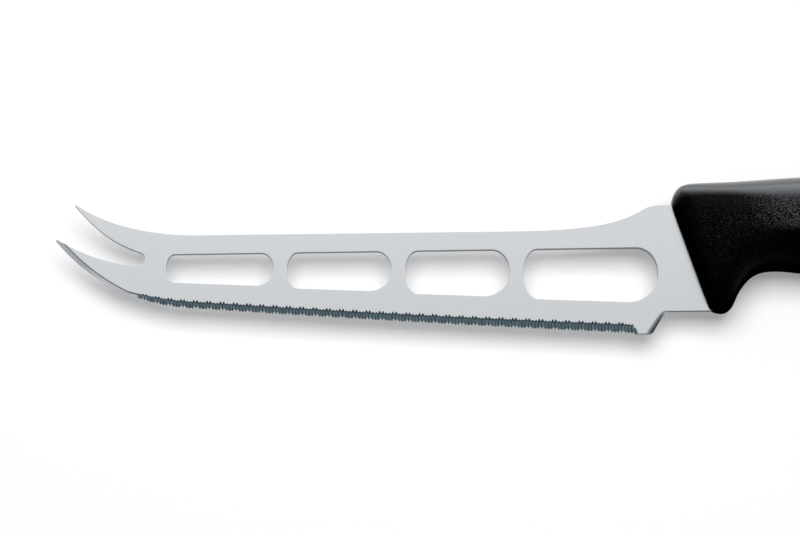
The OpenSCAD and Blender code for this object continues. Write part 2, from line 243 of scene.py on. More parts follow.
def corner(a, p, b, r):
    """The rounding of corner p between a and b"""
    u = (a - p).normalized()
    v = (b - p).normalized()
    half = u.angle(v) / 2
    run = min(r / math.tan(half), (a - p).length / 2, (b - p).length / 2)
    centre = p + (u + v).normalized() * run / math.cos(half)
    start = p + u * run - centre
    end = p + v * run - centre
    begin = math.atan2(start.y, start.x)
    turn = (math.atan2(end.y, end.x) - begin + 3 * math.pi) % (2 * math.pi) - math.pi
    return arc(centre, run * math.tan(half), begin, begin + turn)


def oval_corner(a, p, b, run_a, run_b):
    """Corner p between a and b, rounded with an ellipse that starts run_a and run_b away from p"""
    start = p + (a - p).normalized() * run_a
    end = p + (b - p).normalized() * run_b
    return (start, mix(start, p, 0.5523), mix(end, p, 0.5523), end)


def closed(curves):
    """The knots of a closed outline, with straight lines where two curves don't touch"""
    whole = []
    for curve, following in zip(curves, curves[1:] + curves[:1]):
        whole.append(curve)
        if (following[0] - curve[3]).length > 0.001:
            whole.append(straight(curve[3], following[0]))
    return [(before, curve) for before, curve in zip(whole[-1:] + whole[:-1], whole)]


def handle_kind(curve):
    """Bezier handles on a straight line are vectors, so that the line isn't divided"""
    a, b, _, d = curve
    return "VECTOR" if (b - mix(a, d, 1 / 3)).length < 0.0001 else "FREE"


def front_x(size, y):
    """Where the handle's slanted front stands at this height"""
    return -size.front_slope * y


# Directions, from each rounded point and from the slot's root, in which the outline's curves leave their rounding
LOW_BELLY, LOW_SLOT = math.radians(230), math.radians(60)
HIGH_SLOT, HIGH_TOP = math.radians(222), math.radians(55)
ROOT_LOW, ROOT_HIGH = math.radians(-90), math.radians(68)


def edge_curve(size):
    """The straight part of the edge with its slight bow, from the belly to the heel"""
    a = Vector((size.belly_len - size.blade_len, -size.edge_front_depth))
    d = Vector((-size.heel_gap, -size.edge_back_depth))
    pull = (a + d) / 2 - Vector((0, 2 * size.edge_bow))
    return (a, mix(a, pull, 2 / 3), mix(d, pull, 2 / 3), d)


def belly_curve(size):
    """The belly, from the lower point to the straight part of the edge"""
    start = lower_point(size) + size.point_r * ahead(LOW_BELLY)
    edge = edge_curve(size)
    fall = start.y - edge[0].y
    run_in = (edge[1] - edge[0]).normalized()
    return (
        start,
        start + Vector((0.395 * size.belly_len, -0.99 * fall)),
        edge[0] - 0.08 * size.belly_len * run_in,
        edge[0],
    )


def lower_point(size):
    return Vector((size.point_r - size.blade_len, -size.point_drop))


def upper_point(size):
    return Vector((size.point_r - size.blade_len + size.fork_lead, size.fork_rise - size.point_r))


def slot_root(size):
    return Vector((size.slot_len - size.blade_len - size.slot_r, -size.slot_drop))


def heel_corners(size):
    """The choil's corner and the heel's lower corner"""
    choil = Vector((-size.choil_gap, -size.choil_depth))
    depth = size.edge_back_depth + size.heel_drop
    return choil, Vector((choil.x - (depth - size.choil_depth) / math.tan(size.heel_angle), -depth))


def blank_outline(size):
    """The stamped blank: the blade's outline with the steel that the grinding of the edge takes off"""

    def sunk(y):
        return Vector((front_x(size, y) + size.tang_sink, y))

    rise = -size.tang_drop
    tang = [
        Vector((size.tang_len, rise + size.tang_back_h / 2)),
        Vector((size.tang_len, rise - size.tang_back_h / 2)),
        sunk(rise - size.tang_front_h / 2),
        sunk(-size.choil_depth),
    ]
    tang_top = sunk(rise + size.tang_front_h / 2)
    choil, heel = heel_corners(size)
    edge = [p - Vector((0, size.heel_drop)) for p in edge_curve(size)]
    belly = list(belly_curve(size))
    spare = 0.15 * ahead(LOW_BELLY)
    belly = [belly[0] + spare, belly[1] + spare, belly[2] - Vector((0, size.heel_drop)), edge[0]]
    low, high, root = lower_point(size), upper_point(size), slot_root(size)

    slot_low_start = low + size.point_r * ahead(LOW_SLOT)
    slot_low_end = root - Vector((0, size.slot_r))
    slot_low = (
        slot_low_start,
        slot_low_start + Vector((0.24 * size.slot_len, -0.59 * size.slot_drop)),
        slot_low_end - Vector((0.31 * size.slot_len, 0)),
        slot_low_end,
    )
    slot_high_start = root + size.slot_r * ahead(ROOT_HIGH)
    slot_high_end = high + size.point_r * ahead(HIGH_SLOT)
    slot_high = (
        slot_high_start,
        slot_high_start + 0.21 * size.slot_len * ahead(ROOT_HIGH + math.pi / 2),
        slot_high_end + Vector((0.33 * size.slot_len, -1.08 * size.fork_rise)),
        slot_high_end,
    )
    top_start = high + size.point_r * ahead(HIGH_TOP)
    top_end = Vector((size.fork_len - size.blade_len, 0))
    top = (
        top_start,
        top_start + Vector((0.33 * size.fork_len, -1.08 * size.fork_rise)),
        top_end - Vector((0.02 * size.fork_len, 0)),
        top_end,
    )
    shoulder = Vector((-size.shoulder_len, size.shoulder_rise))
    shoulder_sunk = sunk(size.shoulder_rise)
    ramp_start = shoulder - Vector((size.ramp_len, size.shoulder_rise))
    ramp = (
        ramp_start,
        ramp_start + Vector((0.9 * size.ramp_len, 0)),
        shoulder - Vector((0.185 * size.ramp_len, 0)),
        shoulder,
    )
    tang_r = size.tang_back_h / 4
    return (
        corner(tang_top, tang[0], tang[1], tang_r)
        + corner(tang[0], tang[1], tang[2], tang_r)
        + corner(tang[1], tang[2], tang[3], size.tang_sink / 2)
        + [straight(tang[3], choil)]
        + corner(choil, heel, edge[3], size.heel_r)
        + [tuple(reversed(edge)), tuple(reversed(belly))]
        + arc(low, size.point_r, LOW_BELLY, LOW_SLOT)
        + [slot_low]
        + arc(root, size.slot_r, ROOT_LOW, ROOT_HIGH)
        + [slot_high]
        + arc(high, size.point_r, HIGH_SLOT, HIGH_TOP)
        + [top, ramp, straight(shoulder, shoulder_sunk), straight(shoulder_sunk, tang_top)]
    )


# Each opening's share of the length that they have together
WINDOW_SHARES = (0.2382, 0.2313, 0.2317, 0.2988)
# Reach of an opening's rounded corners along its long side and down its end, as shares of its
# height there: top left, top right, low right, low left
CORNER_SHARES = ((0.3, 0.46), (0.355, 0.43), (0.55, 0.52), (0.29, 0.45))


def window_outlines(size):
    """The four openings, from the fork to the handle"""
    front = slot_root(size).x + size.slot_r + size.window_front_gap
    back = -size.window_back_gap
    steel = back - front - (len(WINDOW_SHARES) - 1) * size.bridge_w

    def ceiling(x):
        return -size.window_top_depth + size.window_top_rise * (x - front) / (back - front)

    def floor(x):
        t = (x - front) / (back - front)
        return mix(-size.window_front_depth, -size.window_back_depth, t + 0.08 * t * (1 - t))

    outlines = []
    left = front
    for part in WINDOW_SHARES:
        right = left + part * steel
        ends = [
            Vector((left, ceiling(left))),
            Vector((right, ceiling(right))),
            Vector((right, floor(right) + size.window_lift)),
            Vector((left, floor(left))),
        ]
        outline = []
        for i, p in enumerate(ends):
            along, down = (share_of * (ceiling(p.x) - floor(p.x)) for share_of in CORNER_SHARES[i])
            runs = (along, down) if i % 2 else (down, along)
            outline.append(oval_corner(ends[i - 1], p, ends[(i + 1) % 4], *runs))
        outlines.append(outline)
        left = right + size.bridge_w
    return outlines


def side_height(size, x, y):
    """Height of the ground side above the blade's middle plane"""
    _, heel = heel_corners(size)
    tip = lower_point(size)
    high = Vector((front_x(size, size.shoulder_rise), size.shoulder_rise, size.blade_th / 2))
    low = Vector((heel.x, heel.y, size.edge_th / 2))
    point = Vector((tip.x, tip.y, size.point_th / 2))
    normal = (low - high).cross(point - high)
    return high.z - (normal.x * (x - high.x) + normal.y * (y - high.y)) / normal.z


# Handwork in Blender ------------------------------------------------------------------------------


def put_down():
    """Leaves edit mode and lets go of everything"""
    if bpy.context.object and bpy.context.object.mode != "OBJECT":
        bpy.ops.object.mode_set(mode="OBJECT")
    bpy.ops.object.select_all(action="DESELECT")


def pick_up(piece):
    put_down()
    piece.select_set(True)
    bpy.context.view_layer.objects.active = piece


def edit(piece):
    """Edit mode on one piece, with nothing in it selected"""
    pick_up(piece)
    bpy.ops.object.mode_set(mode="EDIT")
    bpy.ops.mesh.select_mode(type="VERT")
    bpy.ops.mesh.select_all(action="DESELECT")


def mend(piece, gap=0.0005):
    """Joins doubled points and turns all faces outwards"""
    edit(piece)
    bpy.ops.mesh.select_all(action="SELECT")
    bpy.ops.mesh.remove_doubles(threshold=gap)
    bpy.ops.mesh.normals_make_consistent(inside=False)
    put_down()


def modify(piece, kind, **settings):
    """Adds one modifier with its settings and applies it"""
    pick_up(piece)
    bpy.ops.object.modifier_add(type=kind)
    modifier = piece.modifiers[-1]
    for key, value in settings.items():
        setattr(modifier, key, value)
    bpy.ops.object.modifier_apply(modifier=modifier.name)


def cut_from(piece, cutter):
    """Takes the cutter's shape out of the piece and throws the cutter away"""
    modify(piece, "BOOLEAN", operation="DIFFERENCE", solver="EXACT", material_mode="TRANSFER", object=cutter)
    pick_up(cutter)
    bpy.ops.object.delete()


def origin_of(size):
    """The drawing's origin in the knife's frame: the spine's line at the handle's front, in the middle plane"""
    low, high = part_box("handle")
    return Vector((high[0] - size.handle_len * MM, high[1] - size.grip_rise * MM, (low[2] + high[2]) / 2))


def into_frame(piece, size):
    """Brings a piece drawn in millimetres to its place in the knife's frame, in metres"""
    pick_up(piece)
    piece.scale = (MM, MM, MM)
    piece.location = origin_of(size)
    bpy.ops.object.transform_apply(location=True, rotation=True, scale=True)
    put_down()


def drawn_plate(name, outlines, thickness, rim):
    """A plate cut along Bezier outlines, the first one outside and the others as holes, with rounded rims"""
    put_down()
    bpy.ops.curve.primitive_bezier_circle_add(radius=1)
    plate = bpy.context.object
    plate.name = name
    drawing = plate.data
    drawing.splines.clear()
    drawing.dimensions = "2D"
    drawing.fill_mode = "BOTH"
    drawing.extrude = thickness / 2 - rim
    drawing.bevel_depth = rim
    drawing.bevel_resolution = 1
    drawing.offset = -rim
    for outline in outlines:
        knots = closed(outline)
        spline = drawing.splines.new("BEZIER")
        spline.bezier_points.add(len(knots) - 1)
        for point, (before, after) in zip(spline.bezier_points, knots):
            point.handle_left_type = handle_kind(before)
            point.handle_right_type = handle_kind(after)
            point.co = after[0].to_3d()
            point.handle_left = before[2].to_3d()
            point.handle_right = after[1].to_3d()
        spline.use_cyclic_u = True
        spline.resolution_u = 16
    bpy.ops.object.convert(target="MESH")
    mend(plate)
    return plate


CUTTER_TOP = 4  # mm above the blade's middle plane


def surface_cutter(name, columns, rows, place_of, material):
    """A solid over a shaped grid: place_of turns a column and a row into a point of its underside"""
    put_down()
    bpy.ops.mesh.primitive_grid_add(x_subdivisions=columns, y_subdivisions=rows, size=2)
    cutter = bpy.context.object
    cutter.name = name
    cutter.data.uv_layers[0].name = "grinding"
    cutter.data.materials.append(material)
    for vertex in cutter.data.vertices:
        column = round((vertex.co.x + 1) / 2 * columns)
        row = round((vertex.co.y + 1) / 2 * rows)
        vertex.co = place_of(column, row)
    edit(cutter)
    bpy.ops.mesh.select_all(action="SELECT")
    bpy.ops.mesh.extrude_region_move(TRANSFORM_OT_translate={"value": (0, 0, 1)})
    bpy.ops.object.mode_set(mode="OBJECT")
    for vertex in cutter.data.vertices:
        if vertex.select:
            vertex.co.z = CUTTER_TOP
    mend(cutter, 0.00001)
    return cutter


# Blade --------------------------------------------------------------------------------------------


GROOVE_STEPS = 8  # columns of the grinding to a groove
TRACE_STEPS = 200  # points on each of the edge's two curves
EDGE_LEAD = 3  # mm that the edge path runs on past the point and past the heel
TOOTH_START = 15  # mm over which the first teeth grow to their full size


def edge_path(size):
    """The whole cutting edge: a function from a distance to a place and its inward direction, and its length"""
    belly, edge = belly_curve(size), edge_curve(size)
    trace = [bezier_at(belly, i / TRACE_STEPS) for i in range(TRACE_STEPS)]
    trace += [bezier_at(edge, i / TRACE_STEPS) for i in range(TRACE_STEPS + 1)]
    before = trace[0] + (trace[0] - trace[1]).normalized() * EDGE_LEAD
    after = trace[-1] + (trace[-1] - trace[-2]).normalized() * EDGE_LEAD
    trace = [before, *trace, after]
    far = [0]
    for a, b in zip(trace, trace[1:]):
        far.append(far[-1] + (b - a).length)

    def at(s):
        i = 0
        while i < len(far) - 2 and far[i + 1] < s:
            i += 1
        t = (s - far[i]) / (far[i + 1] - far[i])
        run = (trace[i + 1] - trace[i]).normalized()
        return mix(trace[i], trace[i + 1], t), Vector((-run.y, run.x))

    return at, far[-1]


def groove_depth(size, phase):
    """Depth of the ground grooves: two long and two short ones in every four"""
    number = math.floor(phase)
    part = phase - number
    depth = size.long_groove if number % 4 < 2 else size.short_groove
    return depth * (1 - (2 * part - 1) ** 2)


def first_groove(size):
    """Distance of the first groove along the edge path, which is longer than the plain part because it curves"""
    return EDGE_LEAD + size.plain_len * 1.11


def edge_wheel(size, material):
    """The grinding of the edge: a plain bevel on the point, then leaning grooves up to the heel"""
    spacing = size.tooth_pitch / GROOVE_STEPS
    at, total = edge_path(size)
    columns = math.floor(total / spacing)
    first_tooth = first_groove(size)
    last_tooth = total - EDGE_LEAD

    def place_of(column, row):
        s = column * spacing
        p, _ = at(s)
        half = side_height(size, p.x, p.y)
        open_t = clamp((s - first_tooth) / TOOTH_START)
        plain = clamp((s - EDGE_LEAD) / (first_tooth - EDGE_LEAD))
        plain_w = mix(size.point_bevel_w, size.start_bevel_w, plain**2)
        toothed_w = 2 * half / math.tan(size.bevel_angle)
        width = mix(plain_w, toothed_w, open_t * (2 - open_t))
        slope = (2 * half - size.edge_land) / width
        # At the heel the wheel leaves the steel on a quarter of an oval, and then straight
        out = clamp((s - last_tooth + size.run_out) / size.run_out, 0, 1.4)
        shift = 2.8 * (1 - math.sqrt(max(0, 1 - min(out, 1) ** 2))) + 4 * max(0, out - 1)
        step = size.point_step * (1 - open_t)
        ledge = width - 1.2 * step
        # The rows run from outside the edge over the bevel, with the point's step in row 4, to above the flat side
        depth = (-1.3, -0.6, 0, 0.6 * width, ledge, width, width + 0.7, width + 2.2)[row]
        p, inward = at(clamp(s - depth * math.tan(size.groove_lean), 0, total))
        spot = p + inward * depth
        height = size.edge_land - half + (depth + shift) * slope
        if row <= 4:
            height -= step * depth / ledge
        if s > first_tooth and out < 1.3:
            phase = (s - first_tooth) / size.tooth_pitch
            height -= groove_depth(size, phase) * (0.55 + 0.45 * open_t) / math.cos(math.atan(slope))
        return Vector((spot.x, spot.y, height))

    return surface_cutter("edge_wheel", columns, 7, place_of, material)


def heel_wheel(size, material):
    """The rounded facet at the back of the heel, which runs out at the choil"""
    choil, heel = heel_corners(size)
    along = (choil - heel).normalized()
    inward = Vector((-along.y, along.x))
    back = (choil - heel).length
    steps, rows = 24, 10
    deepest = 1.1

    def place_of(column, row):
        # The grid reaches past both ends of the facet and past the heel's corner
        s = mix(-2.6, back + 0.3, column / steps)
        width = size.heel_facet_w * clamp(1 - s / back) ** 0.35
        depth = mix(-0.8, width, row / rows)
        spot = heel + along * s + inward * depth
        inner = max(0, width - depth) / max(width, 0.05)
        drop = size.heel_facet_drop * inner**2
        return Vector((spot.x, spot.y, side_height(size, spot.x, spot.y) - min(drop, deepest) + 0.001))

    return surface_cutter("heel_wheel", steps, rows, place_of, material)


class KNIFE_OT_blade(bpy.types.Operator):
    """Stamps, grinds and sharpens the blade with its fork, openings and tang"""

    bl_idname = "knife.blade"
    bl_label = "Blade"

    def execute(self, context):
        size = sizes()
        look = context.scene.knife_finishes
        holes = [
            arc(Vector((size.tang_len * i / 4, -size.tang_drop)), size.lock_hole_d / 2, 0, 2 * math.pi)
            for i in (1, 2, 3)
        ]
        outlines = [blank_outline(size), *window_outlines(size), *holes]
        blade = drawn_plate("blade_steel", outlines, size.blade_th, size.rim_r)
        self.grind_sides(blade, size)
        blade.data.materials.append(satin_steel(look))
        blade.data.materials.append(cut_wall_steel(look))
        for face in blade.data.polygons:
            face.material_index = 1 if abs(face.normal.z) < 0.4 else 0
        cut_from(blade, edge_wheel(size, ground_steel(look, size)))
        cut_from(blade, heel_wheel(size, facet_steel(look)))
        mend(blade)
        if not blade.data.polygons:
            raise RuntimeError("The blade was cut away: its sizes don't fit each other")
        pick_up(blade)
        bpy.ops.object.shade_smooth_by_angle(angle=math.radians(24))
        self.level_sides(blade)
        modify(blade, "WEIGHTED_NORMAL", weight=100, keep_sharp=True)
        into_frame(blade, size)
        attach(blade, "root")
        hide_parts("blade")
        return {"FINISHED"}

    def level_sides(self, blade):
        """Shades the flat sides flat, so that their rims bend no light in them"""
        edit(blade)
        bpy.ops.mesh.select_mode(type="FACE")
        bpy.ops.object.mode_set(mode="OBJECT")
        for face in blade.data.polygons:
            face.select = face.material_index == 0 and abs(face.normal.z) > 0.99
        bpy.ops.object.mode_set(mode="EDIT")
        bpy.ops.mesh.faces_shade_flat()
        put_down()

    def grind_sides(self, blade, size):
        """Wedges the blade, and leaves the tang at its full thickness from a place hidden in the handle"""
        for behind in (0.5, 1.3):
            edit(blade)
            bpy.ops.mesh.select_all(action="SELECT")
            bpy.ops.mesh.bisect(plane_co=(behind, 0, 0), plane_no=ahead(size.front_angle).to_3d())
            put_down()
        for vertex in blade.data.vertices:
            x, y, _ = vertex.co
            if x - front_x(size, y) < 0.9:
                vertex.co.z *= side_height(size, x, y) / (size.blade_th / 2)


# Handle -------------------------------------------------------------------------------------------

# Each row is a share of the handle's length, then a share of the named height, width or angle
TOP_LINE = [
    (0, 0.75), (0.06, 0.828), (0.12, 0.863), (0.24, 0.947), (0.34, 0.982), (0.45, 1),
    (0.6, 0.97), (0.75, 0.86), (0.88, 0.69), (0.95, 0.56), (1, 0.44),
]
BOTTOM_LINE = [
    (0, 0.962), (0.006, 0.98), (0.014, 0.994), (0.026, 1), (0.044, 0.96), (0.0725, 0.767), (0.0905, 0.667),
    (0.11, 0.58), (0.129, 0.525), (0.156, 0.492), (0.178, 0.488), (0.215, 0.51), (0.3, 0.585), (0.42, 0.655),
    (0.52, 0.665), (0.64, 0.605), (0.76, 0.525), (0.85, 0.555), (0.92, 0.685), (0.965, 0.755), (1, 0.735),
]
SIDE_LINE = [(0, 0.86), (0.04, 0.93), (0.1, 1), (0.84, 1), (0.93, 0.96), (1, 0.88)]
CREST_LINE = [(0, 0.45), (0.1, 0.52), (0.3, 0.56), (0.8, 0.56), (1, 0.5)]
UPPER_SQUARENESS = [(0, 4.6), (0.1, 2.5), (0.2, 2.15), (0.4, 2.1), (0.9, 2.2), (1, 2.5)]
LOWER_SQUARENESS = [(0, 2.8), (0.2, 2.6), (0.4, 2.4), (1, 2.4)]
LEAN_LINE = [(0, 1), (0.08, 0.86), (0.2, 0.25), (0.3, 0), (1, 0)]


def follow(rows, x):
    """A smooth line through a table, which never swings past a value"""
    last = len(rows) - 1

    def slope(i):
        return (rows[i + 1][1] - rows[i][1]) / (rows[i + 1][0] - rows[i][0])

    def rise(i):
        before = slope(max(i - 1, 0))
        after = slope(min(i, last - 1))
        return 0 if before * after <= 0 else 2 * before * after / (before + after)

    i = 0
    while i < last - 1 and x >= rows[i + 1][0]:
        i += 1
    run = rows[i + 1][0] - rows[i][0]
    t = (x - rows[i][0]) / run
    a, b = rows[i][1], rows[i + 1][1]
    p, q = rise(i) * run, rise(i + 1) * run
    return a + t * p + t * t * (3 * (b - a) - 2 * p - q) + t**3 * (2 * (a - b) + p + q)


# Where the sections between the two rounded ends stand, as shares of the length
PLACES = [
    0.052, 0.062, 0.074, 0.087, 0.1, 0.114, 0.13, 0.147, 0.166, 0.19, 0.22, 0.26,
    *[0.3 + i * 0.042 for i in range(14)], 0.88, 0.915,
]


def section(size, s, top_in=0, side_in=0, bottom_in=0):
    """The points of one section of the handle, drawn in at its top, sides and bottom"""
    high = size.grip_rise * follow(TOP_LINE, s) - top_in
    low = -size.guard_depth * follow(BOTTOM_LINE, s) + bottom_in
    crest = mix(high, low, follow(CREST_LINE, s))
    half = size.handle_th / 2 * follow(SIDE_LINE, s) - side_in
    upper = 2 / follow(UPPER_SQUARENESS, s)
    lower = 2 / follow(LOWER_SQUARENESS, s)
    lean = math.tan(size.front_angle * follow(LEAN_LINE, s))
    points = []
    for i in range(size.ring_points):
        turn = (i + 0.5) * 2 * math.pi / size.ring_points
        rise, out = math.sin(turn), math.cos(turn)
        power = upper if rise > 0 else lower
        part = high - crest if rise > 0 else crest - low
        y = crest + part * math.copysign(abs(rise) ** power, rise)
        widest = math.cos(math.pi / size.ring_points) ** power
        z = half * math.copysign(abs(out) ** power, out) / widest
        points.append(Vector((s * size.handle_len - lean * y, y, z)))
    return points


def drawn_in(r, run):
    """How far a rounding of radius r has drawn the section in, at this distance from the face"""
    return 0 if run >= r else r - math.sqrt(max(0, r * r - (r - run) ** 2))


def handle_sections(size):
    """All sections, closest together on the rounded front and butt"""
    shares = [1 - math.cos(math.pi / 2 * i / 7) for i in range(8)]
    sections = []
    for run in (size.front_top_r * part for part in shares):
        insets = [drawn_in(r, run) for r in (size.front_top_r, size.front_side_r, size.front_guard_r)]
        sections.append(section(size, run / size.handle_len, *insets))
    sections += [section(size, s) for s in PLACES]
    for run in (size.butt_r * part for part in reversed(shares)):
        sections.append(section(size, 1 - run / size.handle_len, *[drawn_in(size.butt_r, run)] * 3))
    return sections


class KNIFE_OT_handle(bpy.types.Operator):
    """Lofts the moulded handle through its sections and closes its front and butt"""

    bl_idname = "knife.handle"
    bl_label = "Handle"

    def execute(self, context):
        size = sizes()
        rings = []
        for number, points in enumerate(handle_sections(size)):
            put_down()
            bpy.ops.mesh.primitive_circle_add(vertices=size.ring_points, radius=1)
            ring = bpy.context.object
            ring.name = f"section_{number}"
            for vertex, point in zip(ring.data.vertices, points):
                vertex.co = point
            rings.append(ring)
        put_down()
        for ring in rings:
            ring.select_set(True)
        bpy.context.view_layer.objects.active = rings[0]
        bpy.ops.object.join()
        handle = bpy.context.object
        handle.name = "handle_plastic"
        handle.data.name = "handle_plastic"
        self.loft(handle, size, len(rings))
        handle.data.materials.append(black_plastic(context.scene.knife_finishes, size))
        modify(handle, "SUBSURF", render_levels=2, levels=2)
        bpy.ops.object.shade_smooth()
        into_frame(handle, size)
        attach(handle, "root")
        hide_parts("handle")
        return {"FINISHED"}

    def loft(self, handle, size, count):
        """Bridges each section to the next, and closes both ends with ever smaller loops"""
        edit(handle)
        bpy.ops.mesh.select_mode(type="EDGE")
        bpy.ops.mesh.select_all(action="SELECT")
        bpy.ops.mesh.bridge_edge_loops(type="SINGLE")
        bpy.ops.object.mode_set(mode="OBJECT")
        for end in (0, count - 1):
            edit(handle)
            bpy.ops.object.mode_set(mode="OBJECT")
            span = range(end * size.ring_points, (end + 1) * size.ring_points)
            for i in span:
                handle.data.vertices[i].select = True
            bpy.ops.object.mode_set(mode="EDIT")
            bpy.ops.mesh.edge_face_add()
            bpy.ops.mesh.select_mode(type="FACE")
            for thickness in (0.25, 0.6, 1.6):
                bpy.ops.mesh.inset(thickness=thickness)
            bpy.ops.mesh.poke()
            put_down()
        edit(handle)
        bpy.ops.mesh.select_all(action="SELECT")
        bpy.ops.mesh.normals_make_consistent(inside=False)
        put_down()


# Finishes -----------------------------------------------------------------------------------------


class Level:
    """A number that changes over a surface, with arithmetic that adds Math nodes"""

    def __init__(self, finish, socket):
        self.finish = finish
        self.socket = socket

    def maths(self, operation, *values):
        return self.finish.node("ShaderNodeMath", {"operation": operation}, *values)

    def __add__(self, other):
        return self.maths("ADD", self, other)

    __radd__ = __add__

    def __sub__(self, other):
        return self.maths("SUBTRACT", self, other)

    def __rsub__(self, other):
        return self.maths("SUBTRACT", other, self)

    def __mul__(self, other):
        return self.maths("MULTIPLY", self, other)

    __rmul__ = __mul__

    def ramp(self, low, high):
        """0 below low, 1 above high and smooth between them"""
        return self.finish.node("ShaderNodeMapRange", {"interpolation_type": "SMOOTHSTEP"}, self, low, high, 0.0, 1.0)

    def zone(self, low, high):
        """A ramp between two distances in millimetres"""
        return self.ramp(low * MM, high * MM)


class Finish:
    """One material or world under construction"""

    def __init__(self, tree):
        self.tree = tree
        tree.nodes.clear()

    def node(self, kind, settings, *values, output=0, **named):
        """Adds a node: its settings first, then the values or links of its sockets. Gives one output or several"""
        node = self.tree.nodes.new(kind)
        for key, value in settings.items():
            setattr(node, key, value)
        for index, value in list(enumerate(values)) + list(named.items()):
            key = index.replace("_", " ") if isinstance(index, str) else index
            if value is not None:
                self.fill(node.inputs[key], value)
        if isinstance(output, tuple):
            return [Level(self, node.outputs[key]) for key in output]
        return Level(self, node.outputs[output]) if node.outputs else None

    def fill(self, socket, value):
        if isinstance(value, Level):
            self.tree.links.new(value.socket, socket)
        elif hasattr(socket.default_value, "__len__") and len(socket.default_value) == 4:
            socket.default_value = (*value, 1)
        else:
            socket.default_value = value

    def where(self):
        """Object coordinates in metres"""
        return self.node("ShaderNodeTexCoord", {}, output="Object")

    def place(self, turn=(0, 0, 0), scale=(1, 1, 1)):
        """Object coordinates in metres, turned and scaled"""
        return self.node("ShaderNodeMapping", {}, self.where(), None, turn, scale)

    def axes(self, vector):
        return self.node("ShaderNodeSeparateXYZ", {}, vector, output=(0, 1, 2))

    def noise(self, where, scale, detail=2.0, roughness=0.5):
        named = {"Vector": where, "Scale": scale, "Detail": detail, "Roughness": roughness}
        return self.node("ShaderNodeTexNoise", {"noise_dimensions": "3D"}, **named)

    def blend(self, factor, a, b):
        """A colour between a and b, which are the Mix node's inputs 6 and 7"""
        return self.node("ShaderNodeMix", {"data_type": "RGBA"}, factor, *[None] * 5, a, b, output=2)

    def bump(self, height, distance):
        return self.node("ShaderNodeBump", {}, Strength=1.0, Distance=distance, Height=height)

    def surface(self, **values):
        shader = self.node("ShaderNodeBsdfPrincipled", {}, **values)
        self.node("ShaderNodeOutputMaterial", {}, Surface=shader)


def new_material(name):
    material = bpy.data.materials.new(name)
    material.use_nodes = True
    return material, Finish(material.node_tree)


def satin_steel(look):
    """Finely ground steel: hair-fine lines across the blade, a faint cloudiness and a satin sheen"""
    material, finish = new_material("satin_steel")
    lines = finish.noise(finish.place(scale=(9000, 260, 260)), 1.0, 3.0, 0.6)
    cloud = finish.noise(finish.place(scale=(60, 60, 60)), 1.0, 2.0)
    finish.surface(
        Base_Color=finish.blend(lines.ramp(0.35, 0.7), look.steel, look.steel_dark),
        Metallic=1.0,
        Roughness=0.2 + 0.06 * lines + 0.04 * cloud,
        Normal=finish.bump(lines, 0.0012 * MM),
    )
    return material


def cut_wall_steel(look):
    """Stamped walls: rougher, and darker partly in the stamped steel's own duller tone and partly as painted shade,
    with fine lines through the thickness, and darker still with painted shade below the openings' lower edges
    """
    material, finish = new_material("cut_wall_steel")
    grain = finish.noise(finish.place(scale=(5200, 5200, 500)), 1.0, 3.0)
    _, y, _ = finish.axes(finish.where())
    tone = finish.blend(grain, [0.85 * part for part in look.wall], [1.15 * part for part in look.wall])
    finish.surface(
        # Painted shade: the walls below the openings' lower edges take the darker colour
        Base_Color=finish.blend(y.zone(-13.3, -11.8), look.low_wall_shade, tone),
        Metallic=1.0,
        Roughness=0.42 + 0.16 * grain,
        Normal=finish.bump(grain, 0.004 * MM),
    )
    return material


def facet_steel(look):
    """The heel's facet: from the flat side's satin to painted shade at its outer rim"""
    material, finish = new_material("facet_steel")
    _, across, _ = finish.axes(finish.node("ShaderNodeUVMap", {"uv_map": "grinding"}))
    scratch = finish.noise(finish.place(turn=(0, 0, 0.5), scale=(6000, 500, 500)), 1.0, 2.0)
    finish.surface(
        # Painted shade: dark at the facet's outer rim, fading into the satin steel inwards
        Base_Color=finish.blend((across + 0.1 * (scratch - 0.5)).ramp(0.42, 1.0), look.facet, look.steel),
        Metallic=1.0,
        Roughness=0.3 + 0.1 * scratch,
    )
    return material


def ground_steel(look, size):
    """Steel fresh from the wheel: leaning grinding strokes in the teeth, a painted highlight down the middle of each
    groove with painted shade on the ridges and the teeth's upper ends, and a lighter, honed point with a painted
    shade line along its step
    """
    material, finish = new_material("ground_steel")
    x, _, _ = finish.axes(finish.where())
    along, across, _ = finish.axes(finish.node("ShaderNodeUVMap", {"uv_map": "grinding"}))
    _, total = edge_path(size)
    grooves = math.floor(total / size.tooth_pitch * GROOVE_STEPS) / GROOVE_STEPS
    place = along * grooves - first_groove(size) / size.tooth_pitch
    part = place.maths("FRACT", place)
    middle = 1 - part.maths("ABSOLUTE", 2 * part - 1)
    scratch = finish.noise(finish.place(turn=(0, 0, -size.groove_lean), scale=(5200, 700, 700)), 1.0, 2.0)
    # Painted highlight down the middle of each groove, with painted shade at the ridges and the teeth's upper ends,
    # streaked by the grinding scratches
    lit = middle.ramp(0.0, 0.9) * (1 - across.ramp(0.6, 0.73)) * (0.35 + 1.3 * scratch.ramp(0.3, 0.7))
    ahead_of_teeth = x - (origin_of(size).x + (size.plain_len - size.blade_len) * MM)
    toothed = ahead_of_teeth.zone(-0.7, 0.1)
    # Painted shade: a dark line along the point's step, where the bevel meets the flat side
    line = across.ramp(0.55, 0.6) * (1 - across.ramp(0.72, 0.76))
    honed = finish.blend(line, look.point, look.honed_step_shade)
    dull = ahead_of_teeth.zone(-15.5, -8) * (1 - toothed) * (1 - line)
    finish.surface(
        Base_Color=finish.blend(toothed, honed, finish.blend(lit, look.ground_shade, look.ground)),
        Metallic=1 - 0.4 * dull,
        Roughness=0.28 + 0.14 * scratch,
        Normal=finish.bump(scratch, 0.003 * MM),
    )
    return material


